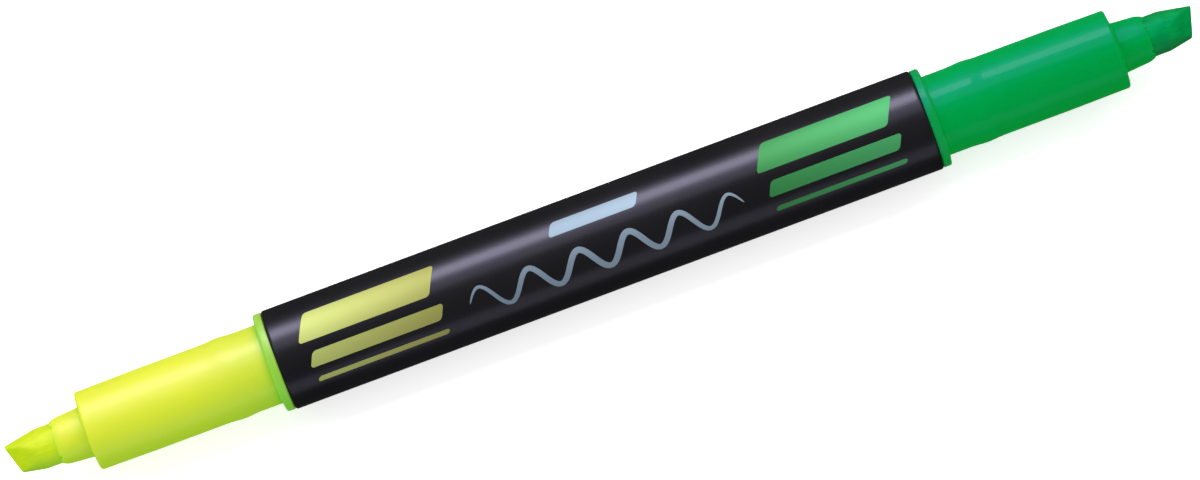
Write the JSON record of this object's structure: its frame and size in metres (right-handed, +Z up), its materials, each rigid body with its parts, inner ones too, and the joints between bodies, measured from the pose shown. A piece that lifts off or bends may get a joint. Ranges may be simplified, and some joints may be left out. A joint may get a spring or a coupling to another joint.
{
  "type": "double-ended highlighter",
  "caption": "Slim round double-ended chisel highlighter lying flat, black barrel, yellow tip and green tip, each with a pull-off six-sided cap in line beside it.",
  "frame": {"origin": "on the table, under the middle of the barrel", "axes": "+X along the pen towards its green end, +Z up, +Y across the pen towards the long corner of both chisel tips"},
  "size_m": [0.239, 0.0132, 0.0124],
  "materials": {
    "black_barrel": "glossy black, printed",
    "yellow_plastic": "satin, slightly translucent fluorescent yellow",
    "green_plastic": "satin, slightly translucent green",
    "yellow_felt": "matt felt, soaked with ink",
    "green_felt": "matt felt, soaked with ink",
    "natural_plastic": "natural polypropylene",
    "yellow_fibre": "fibre soaked with yellow ink",
    "green_fibre": "fibre soaked with green ink",
    "clear_film": "thin clear film"
  },
  "bodies": {
    "pen": {"barrel": "black_barrel", "centre_divider": "natural_plastic", "yellow_section": "yellow_plastic", "yellow_tip": "yellow_felt", "yellow_reservoir": "yellow_fibre", "yellow_reservoir_film": "clear_film", "green_section": "green_plastic", "green_tip": "green_felt", "green_reservoir": "green_fibre", "green_reservoir_film": "clear_film"},
    "cap_yellow": {"yellow_cap": "yellow_plastic", "yellow_inner_cap": "natural_plastic"},
    "cap_green": {"green_cap": "green_plastic", "green_inner_cap": "natural_plastic"}
  },
  "joints": [
    {"name": "yellow_cap_slide", "type": "slide", "parent": "pen", "child": "cap_yellow", "axis": [-1, 0, 0], "range_m": [-0.03995, 0]},
    {"name": "green_cap_slide", "type": "slide", "parent": "pen", "child": "cap_green", "axis": [1, 0, 0], "range_m": [-0.03995, 0]}
  ]
}
